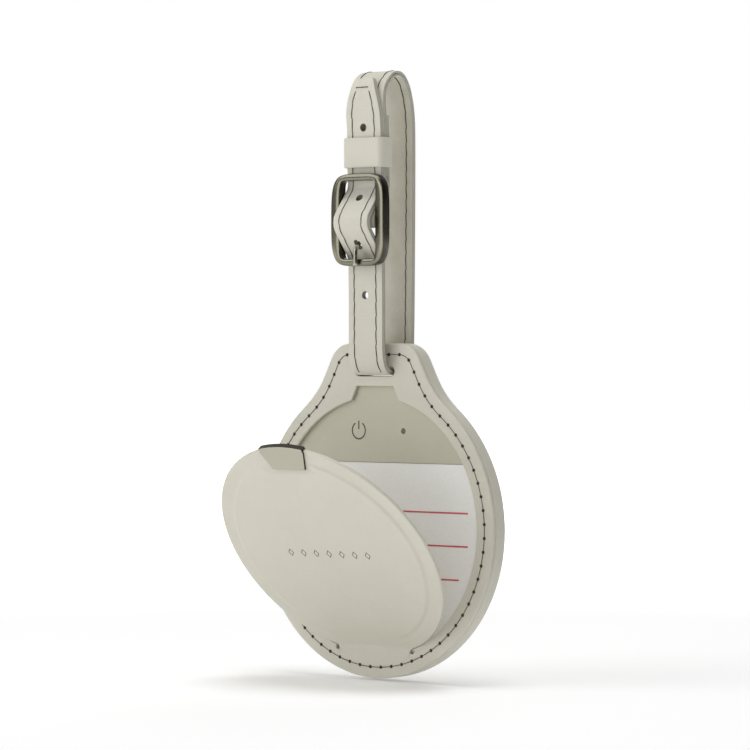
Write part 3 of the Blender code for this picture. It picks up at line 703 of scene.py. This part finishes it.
def panel_height(x, z):
    """How far the flap's middle stands above its rim. It fades towards the bend and under the clip."""
    inside = 1 - ease(math.hypot(x, z), PANEL_RADIUS - PANEL_BEVEL, PANEL_RADIUS)
    beside_clip = ease(abs(x), CLIP_HALF, CLIP_HALF + PANEL_CLIP_FADE)
    under_clip = ease(z, CLIP_FOOT - PANEL_CLIP_FADE, CLIP_FOOT - 0.0002) * (1 - beside_clip)
    return PANEL_RAISE * inside * ease(z, *PANEL_FADE) * (1 - under_clip) + FOOT_PROUD


def scaled_ring(edge, share, height):
    return [(x * share, height(x * share, z * share), z * share) for x, z in edge]


def rim_ring(edge, share, drop):
    """A ring near the flap's edge, which falls back by drop above the bend."""
    return scaled_ring(edge, share, lambda _, z: FRONT - FOOT_PROUD + drop * ease(z, *RIM_FADE))


def make_flap():
    edge = flap_edge(FLAP_RADIUS, CHORD, BEND_HALF, FOOT_LAP)
    shares = [0.0005, 0.15, 0.3, 0.45, 0.6, 0.7, 0.76, 0.78, 0.8]
    shares += [0.82 + 0.009 * k for k in range(14)] + [0.96, 0.98, 0.989]
    sections = [scaled_ring(edge, s, lambda x, z: FRONT - panel_height(x, z)) for s in shares]
    for share, drop in ((0.994, 0.00002), (0.998, 0.0001), (1.0, 0.00025)):
        sections.append(rim_ring(edge, share, drop))
    for share in (1.0, 0.99, 0.9, 0.6, 0.3, 0.0005):
        sections.append(scaled_ring(edge, share, lambda x, z: FRONT + SKIN))
    skin_mesh = loft("flap_skin", [turned(points, bend_share) for points in sections])
    skin = add_piece("flap_skin", skin_mesh, "leather", None, ["flap_leather"], 50)
    end = Vector(turned([(0.0, HINGE.y, BEND_TOP)])[0]) + AT
    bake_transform(skin)

    low = BEND_TOP + 0.0002
    backing_edge = flap_edge(FLAP_RADIUS - BACKING_INSET, low, BACKING_FOOT_HALF)
    first, last = FRONT + SKIN + 0.00002, FRONT + LEATHER
    rings = [(0.0005, last), (0.5, last), (0.98, last), (0.996, last - 0.0001), (1.0, last - 0.00025),
             (1.0, first), (0.5, first), (0.0005, first)]
    sheets = [turned(scaled_ring(backing_edge, s, lambda x, z, d=y: d)) for s, y in rings]
    backing = loft("flap_backing", sheets)
    add_piece("flap_backing", backing, "lining", "flap", ["flap_lining"], 50)
    make_clip()
    make_mark()


def make_clip():
    """A satin metal clip over the flap's top edge."""
    start = math.acos(CLIP_HALF / CLIP_RADIUS)
    rim = arc((0, 0), CLIP_RADIUS, start, math.pi - start, math.radians(1.5))
    shape = [(CLIP_HALF, rim[0][1] - CLIP_STRAIGHT)] + rim + [(-CLIP_HALF, rim[-1][1] - CLIP_STRAIGHT)]
    shape += [(-CLIP_FOOT_HALF, CLIP_FOOT), (CLIP_FOOT_HALF, CLIP_FOOT)]
    front, back = FRONT - CLIP_PROUD, FRONT + LEATHER + 0.00005
    mesh = plate("flap_clip_plate", shape, [], front, back, CLIP_EDGE, 4)
    for vertex in mesh.vertices:
        vertex.co = turned([tuple(vertex.co)])[0]
    clip = add_piece("flap_clip_plate", mesh, "clip", "flap", ["flap_clip"])
    # Faces that don't face out get the near-black edge metal: painted dark reflection.
    clip.data.materials.append(LOOKS["clip_edge_dark_reflection"])
    out = Vector((0.0, math.cos(FLAP_OPEN), math.sin(FLAP_OPEN)))
    for polygon in clip.data.polygons:
        polygon.material_index = int(abs(polygon.normal.dot(out)) < 0.5)
    even_normals(clip)


def make_mark():
    """A plain debossed row of small diamonds in the middle of the flap."""
    bm = bmesh.new()
    depth = FRONT - PANEL_RAISE
    top, foot = depth - MARK_PROUD, depth + MARK_DEEP
    corners = ((1, 0), (0, 1), (-1, 0), (0, -1))
    hollow = MARK_SIZE - MARK_LINE * 1.5
    for k in range(-3, 4):
        centre = k * MARK_PITCH
        outer = [(centre + MARK_SIZE * a * MARK_NARROW, MARK_SIZE * b) for a, b in corners]
        inner = [(centre + hollow * a * MARK_NARROW, hollow * b) for a, b in corners]
        rings = []
        for points, y in ((outer, foot), (outer, top), (inner, top), (inner, foot)):
            rings.append([bm.verts.new(p) for p in turned(at_depth(points, y))])
        for first, second in zip(rings, rings[1:] + rings[:1]):
            for i in range(4):
                j = (i + 1) % 4
                bm.faces.new((first[i], first[j], second[j], second[i]))
    add_piece("flap_mark", from_bmesh("flap_mark", bm), "ink", "flap")


# ---------------------------------------------------------------- under the flap


def make_cover():
    low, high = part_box("power_button")
    centre = ((low.x + high.x) / 2, (low.z + high.z) / 2 - AT.z)
    rim = arc(centre, (high.x - low.x) / 2 + CAP_GROW, 0, math.tau)[:-1]
    cap = plate("power_cap", rim, [], COVER_FACE, high.y, CAP_EDGE, 2)
    even_normals(add_piece("power_cap", cap, "cover", "button", ["power_button"]))
    icon = bmesh.new()
    turns = [math.pi / 2 + ICON_GAP + (math.tau - 2 * ICON_GAP) * k / 40 for k in range(41)]
    ring = [(centre[0] + ICON_RADIUS * math.cos(a), centre[1] + ICON_RADIUS * math.sin(a)) for a in turns]
    stroke = [(centre[0], centre[1] + rise) for rise in ICON_STROKE]
    for line in (ring, stroke):
        add_band(icon, line, ICON_LINE, COVER_FACE - ICON_PROUD)
    add_piece("power_icon", from_bmesh("power_icon", icon), "ink", "button")

    card_low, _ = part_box("id_card")
    rules = bmesh.new()
    for height, half in RULES:
        add_band(rules, [(-half, height), (half, height)], RULE_LINE, card_low.y - RULE_PROUD)
    add_piece("card_rules", from_bmesh("card_rules", rules), "red", "tag")


def add_band(bm, points, width, depth):
    """A thin printed line along (x, z) points, standing a hair proud."""
    rings = []
    for i, p in enumerate(points):
        a, b = points[max(i - 1, 0)], points[min(i + 1, len(points) - 1)]
        along = Vector((b[0] - a[0], b[1] - a[1])).normalized()
        side = Vector((-along.y, along.x)) * width / 2
        ring = []
        for s, y in ((1, depth), (-1, depth), (-1, depth + PRINT_THICK), (1, depth + PRINT_THICK)):
            ring.append(bm.verts.new((p[0] + side.x * s, y, p[1] + side.y * s)))
        rings.append(ring)
    for first, second in zip(rings, rings[1:]):
        for i in range(4):
            j = (i + 1) % 4
            bm.faces.new((first[i], first[j], second[j], second[i]))
    bm.faces.new(rings[0])
    bm.faces.new(rings[-1])


# ---------------------------------------------------------------- the strap


def strap_width(path):
    """Half width at each point: it narrows over the tip."""
    last_low = max(i for i, p in enumerate(path) if p.y < BAR.z)

    def half_wide(i):
        if i < last_low or path[i].y < TAPER_START:
            return STRAP_HALF
        share = min((path[i].y - TAPER_START) / (TIP_HEIGHT - TAPER_START), 1.0)
        return STRAP_HALF + (TIP_HALF - STRAP_HALF) * share**TAPER_POWER

    return half_wide


def hole_mesh(path, height, long_half):
    """A hole cutter square to the front run of the strap."""
    middle = next(i for i, p in enumerate(path) if i > len(path) / 3 and abs(p.x) < 0.0005)
    front = [i for i in range(middle, len(path) - 1) if path[i].x < -0.003]
    i = min(front, key=lambda k: abs(path[k].y - height))
    along = (path[i + 1] - path[i - 1]).normalized()
    here = path[i] + along * ((height - path[i].y) / along.y)
    normal = Vector((-along.y, along.x))
    shape = arc((0, long_half), HOLE_RADIUS, 0, math.pi, math.radians(15))
    shape += arc((0, -long_half), HOLE_RADIUS, math.pi, math.tau, math.radians(15))[(not long_half):]
    if not long_half:
        shape = shape[:-1]
    rings = []
    for reach in (-HOLE_REACH, HOLE_REACH):
        ring = []
        for x, s in shape:
            q = here + along * s + normal * reach
            ring.append((x, q.x, q.y))
        rings.append(ring)
    return loft("hole", rings)


def make_strap():
    route = spaced(smooth_route(STRAP_ROUTE), 0.0006)
    fold = spaced(smooth_route(FOLD_ROUTE), 0.0004)
    outer_path = fold + offset(route, PLY_CENTRE)
    inner_path = offset(route, -PLY_CENTRE)
    face_mesh = sweep("strap_outer_ply", outer_path, strap_width(outer_path), PLY_HALF, STRAP_CROWN)
    face = add_piece("strap_outer_ply", face_mesh, "leather", "strap", ["strap_face"])
    lining_mesh = sweep("strap_inner_ply", inner_path, strap_width(inner_path), PLY_HALF)
    lining = add_piece("strap_inner_ply", lining_mesh, "lining", "strap", ["strap_lining"])
    # Faces turned mostly sideways get the darker edge leather: edge paint and painted shade of the sides.
    for ply in (face, lining):
        ply.data.materials.append(LOOKS["edge"])
        ply.data.materials.append(LOOKS["hole"])
        for polygon in ply.data.polygons:
            polygon.material_index = int(abs(polygon.normal.x) > 0.6)
    cut(face, loft("slit", [at_depth(SLIT, BAR.y + SLIT_DEPTHS[0]), at_depth(SLIT, SLIT_DEPTHS[1])]))
    # The cut walls take the third slot, the dark leather that is painted shade inside the holes.
    for i, height in enumerate(STRAP_HOLES):
        long_half = PRONG_SLOT if i == 1 else 0.0
        cut(face, hole_mesh(route, height, long_half), 2)
        cut(lining, hole_mesh(route, height, long_half), 2)

    threads, knots = bmesh.new(), bmesh.new()
    half_wide = strap_width(route)
    inset = STRAP_HALF - STRAP_SEAM
    last = next(i for i, p in enumerate(route) if p.y > TIP_SEAM_HEIGHT and i > len(route) * 0.8)
    for side in (-1, 1):
        for reach in (-1, 1):
            line, normals = [], []
            for i, p in enumerate(route[:last]):
                if p.y < SLOT_SEAM_HEIGHT and abs(p.x) < SLOT_SEAM_DEPTH:
                    if line:
                        stitches(threads, knots, line, normals, STRAP_PITCH, STRAP_KNOT, SLANT * side)
                    line, normals = [], []
                    continue
                normal = left_of(route, i) * reach
                q = p + normal * STRAP_HALF_THICK
                line.append(Vector((side * (half_wide(i) - inset), q.x, q.y)))
                normals.append(Vector((0.0, normal.x, normal.y)))
            stitches(threads, knots, line, normals, STRAP_PITCH, STRAP_KNOT, SLANT * side)
    across = half_wide(last) - inset
    normal = left_of(route, last)
    end = route[last] + normal * STRAP_HALF_THICK
    line = [Vector((across * (k / 2 - 1), end.x, end.y)) for k in range(5)]
    stitches(threads, knots, line, [Vector((0.0, normal.x, normal.y))] * 5, TIP_PITCH, TIP_KNOT)
    add_piece("strap_thread", from_bmesh("strap_thread", threads), "thread", "strap")
    add_piece("strap_knots", from_bmesh("strap_knots", knots), "knot", "strap")


def make_keeper():
    """A leather band round the strap, with rounded corners and edges."""
    low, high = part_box("keeper_loop")
    low, high = low - AT, high - AT
    middle = (low.y + high.y) / 2
    wide, deep = (high.x - low.x) / 2, (high.y - low.y) / 2
    wall, edge = KEEPER_WALL, KEEPER_EDGE
    sections = []
    profile = [(0.0, low.z + edge), (edge, low.z), (wall - edge, low.z), (wall, low.z + edge),
               (wall, high.z - edge), (wall - edge, high.z), (edge, high.z), (0.0, high.z - edge)]
    for inward, height in profile:
        corner = KEEPER_CORNER - inward
        ring = []
        for k, (sx, sy) in enumerate(((1, 1), (-1, 1), (-1, -1), (1, -1))):
            centre = (sx * (wide - KEEPER_CORNER), sy * (deep - KEEPER_CORNER))
            for x, y in arc(centre, corner, k * math.pi / 2, (k + 1) * math.pi / 2, math.radians(11)):
                ring.append((x, middle + y, height))
        sections.append(ring)
    sections.append(sections[0])
    bm = bmesh.new()
    bm.from_mesh(loft("keeper_band", sections, False))
    bmesh.ops.remove_doubles(bm, verts=bm.verts, dist=1e-7)
    band = from_bmesh("keeper_band", bm)
    even_normals(add_piece("keeper_band", band, "leather", "keeper", ["keeper_loop"], 60))


def rounded_loop(half, power, count=144):
    """A superellipse's points at even polar angles."""
    points = []
    for i in range(count):
        a = math.tau * (i + 0.5) / count
        c, s = math.cos(a), math.sin(a)
        reach = (abs(c / half[0]) ** power + abs(s / half[1]) ** power) ** (-1 / power)
        points.append(Vector((reach * c, reach * s)))
    return points


def make_buckle():
    low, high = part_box("buckle_frame")
    low, high = low - AT, high - AT
    middle = (low + high) / 2
    half = (high - low) / 2
    outer = rounded_loop((half.x, half.z), FRAME_POWER)
    inner = rounded_loop(OPENING_HALF, OPENING_POWER)
    bm = bmesh.new()
    rings = []
    for o, i in zip(outer, inner):
        mid, reach = (o + i) / 2, (o - i) / 2
        ring = []
        for k in range(16):
            a = math.tau * k / 16
            c, s = math.cos(a), math.sin(a)
            wide = math.copysign(abs(c) ** SECTION_SQUARE, c)
            deep = math.copysign(abs(s) ** SECTION_SQUARE, s)
            p = mid + reach * wide
            bow = FRAME_BOW * (p.y / half.z) ** 2 if s < 0 else 0.0
            ring.append(bm.verts.new((middle.x + p.x, middle.y + half.y * deep + bow, middle.z + p.y)))
        rings.append(ring)
    for first, second in zip(rings, rings[1:] + rings[:1]):
        for k in range(16):
            n = (k + 1) % 16
            bm.faces.new((first[k], first[n], second[n], second[k]))
    loop = from_bmesh("buckle_ring", bm)
    ring = add_piece("buckle_ring", loop, "ring_front", "buckle", ["buckle_frame"], 80)
    # The side faces get the darker copy of the metal: painted shade.
    ring.data.materials.append(LOOKS["ring_side_painted_shade"])
    for face in ring.data.polygons:
        if abs(face.normal.y) < SHADED_SIDE_FACING:
            face.material_index = 1

    prong = bmesh.new()
    path = spaced(smooth_route(PRONG_ROUTE), 0.0003)
    spine = [Vector((0.0, p.x, p.y)) for p in path]
    tube_between(prong, spine, PRONG_RADIUS, 14)
    turns = [math.tau * k / 24 for k in range(25)]
    eye = [Vector((0.0, BAR.y + EYE_RADIUS * math.cos(a), BAR.z + EYE_RADIUS * math.sin(a))) for a in turns]
    tube_between(prong, eye, EYE_WIRE, 12)
    tongue = from_bmesh("buckle_tongue", prong)
    add_piece("buckle_tongue", tongue, "metal", "prong", ["buckle_prong"], 80)


# ---------------------------------------------------------------- studio

VIEW_AZIMUTH = math.radians(40)
VIEW_RISE = math.radians(0.5)
VIEW_DISTANCE = 0.89
VIEW_LENS = 172.8
VIEW_HEIGHT = 0.0376  # of the aim above the disc's centre
VIEW_SIDE = 0.0002
# Each light's azimuth and rise in degrees, distance and size in metres, and power in watts.
LIGHTS = {
    "key": (-38, 30, 1.5, 0.9, 4.6),
    "front": (-14, 2, 1.8, 1.0, 5.8),
    "low": (-12, -20, 1.5, 0.8, 3.2),
    "top": (65, 84, 1.5, 0.8, 10.5),
    "back": (205, 30, 1.0, 0.5, 0.9),
}
WORLD_STRENGTH = 0.38
WORLD_TILT = 0.8  # how much brighter the left is than the right
FLOOR_FADE = 1 / 0.9
FLOOR_GLOW = 0.16
FLOOR_DROP = 0.0006  # of the floor below the object


def make_camera():
    data = bpy.data.cameras.new("camera")
    data.lens = VIEW_LENS
    data.sensor_width = 36
    camera = bpy.data.objects.new("camera", data)
    bpy.context.scene.collection.objects.link(camera)
    aim = AT + Vector((VIEW_SIDE, FRONT, VIEW_HEIGHT))
    back = direction(VIEW_AZIMUTH, VIEW_RISE)
    camera.location = aim + back * VIEW_DISTANCE
    camera.rotation_mode = "QUATERNION"
    camera.rotation_quaternion = (-back).to_track_quat("-Z", "Y")
    bpy.context.scene.camera = camera


def direction(azimuth, rise):
    """Towards the front at azimuth 0, turning to +X."""
    return Vector((math.sin(azimuth) * math.cos(rise), -math.cos(azimuth) * math.cos(rise), math.sin(rise)))


def add_light(name, azimuth, rise, distance, size, power):
    data = bpy.data.lights.new(name, "AREA")
    data.shape = "RECTANGLE"
    data.size = data.size_y = size
    data.energy = power
    light = bpy.data.objects.new(name, data)
    bpy.context.scene.collection.objects.link(light)
    back = direction(math.radians(azimuth), math.radians(rise))
    light.location = AT + back * distance
    light.rotation_mode = "QUATERNION"
    light.rotation_quaternion = (-back).to_track_quat("-Z", "Y")


def make_world():
    """White to the eye; around the object, bright above and darker low down, which the metal reflects."""
    world = bpy.data.worlds.new("world")
    bpy.context.scene.world = world
    world.use_nodes = True
    tree = world.node_tree
    tree.nodes.clear()
    out = tree.nodes.new("ShaderNodeOutputWorld")
    mix = tree.nodes.new("ShaderNodeMixShader")
    path = tree.nodes.new("ShaderNodeLightPath")
    seen = tree.nodes.new("ShaderNodeBackground")
    seen.inputs["Color"].default_value = (1.0, 1.0, 1.0, 1.0)
    seen.inputs["Strength"].default_value = 1.0
    around = tree.nodes.new("ShaderNodeBackground")
    fall = tree.nodes.new("ShaderNodeMath")
    fall.operation = "MULTIPLY_ADD"
    fall.inputs[1].default_value = -WORLD_TILT * WORLD_STRENGTH
    fall.inputs[2].default_value = WORLD_STRENGTH
    where = tree.nodes.new("ShaderNodeTexCoord")
    split = tree.nodes.new("ShaderNodeSeparateXYZ")
    ramp = tree.nodes.new("ShaderNodeValToRGB")
    half = tree.nodes.new("ShaderNodeMath")
    half.operation = "MULTIPLY_ADD"
    half.inputs[1].default_value = 0.5
    half.inputs[2].default_value = 0.5
    elements = ramp.color_ramp.elements
    elements[0].position, elements[0].color = 0.35, (0.05, 0.05, 0.05, 1)
    elements[1].position, elements[1].color = 0.85, (1, 1, 1, 1)
    extra = elements.new(0.52)
    extra.color = (0.45, 0.45, 0.45, 1)
    tree.links.new(where.outputs["Generated"], split.inputs[0])
    tree.links.new(split.outputs["Z"], half.inputs[0])
    tree.links.new(split.outputs["X"], fall.inputs[0])
    tree.links.new(fall.outputs[0], around.inputs["Strength"])
    tree.links.new(half.outputs[0], ramp.inputs["Fac"])
    tree.links.new(ramp.outputs["Color"], around.inputs["Color"])
    tree.links.new(path.outputs["Is Camera Ray"], mix.inputs["Fac"])
    tree.links.new(around.outputs[0], mix.inputs[1])
    tree.links.new(seen.outputs[0], mix.inputs[2])
    tree.links.new(mix.outputs[0], out.inputs["Surface"])


def floor_paint():
    """Matt white, glowing faintly near the object and fully far off, so that no horizon shows."""
    n = Nodes("floor_paint", (0.92, 0.92, 0.92), 0.95)
    n.set("Specular IOR Level", 0.0)
    ball = n.tree.nodes.new("ShaderNodeTexGradient")
    ball.gradient_type = "SPHERICAL"
    size = n.tree.nodes.new("ShaderNodeMapping")
    size.inputs["Scale"].default_value = (FLOOR_FADE, FLOOR_FADE, FLOOR_FADE)
    n.link(n.where, size.inputs["Vector"])
    n.link(size.outputs["Vector"], ball.inputs["Vector"])
    glow = n.ramp(ball.outputs["Fac"], (1.0, 1.0, 1.0), (FLOOR_GLOW,) * 3, 0.0, 0.75)
    n.link(glow, n.shader.inputs["Emission Color"])
    n.set("Emission Strength", 1.0)
    return n.made


def make_studio():
    bm = bmesh.new()
    bmesh.ops.create_grid(bm, x_segments=2, y_segments=2, size=3.0)
    mesh = from_bmesh("floor", bm)
    floor = bpy.data.objects.new("floor", mesh)
    floor.location = (0, 0, CAD_BOUNDS[0].z - FLOOR_DROP)
    bpy.context.scene.collection.objects.link(floor)
    mesh.materials.append(floor_paint())
    make_world()
    for name, values in LIGHTS.items():
        add_light(name, *values)
    bpy.context.scene.view_settings.view_transform = "Standard"


make_camera()
finish_frame()
make_disc()
make_flap()
make_cover()
make_strap()
make_keeper()
make_buckle()
make_studio()
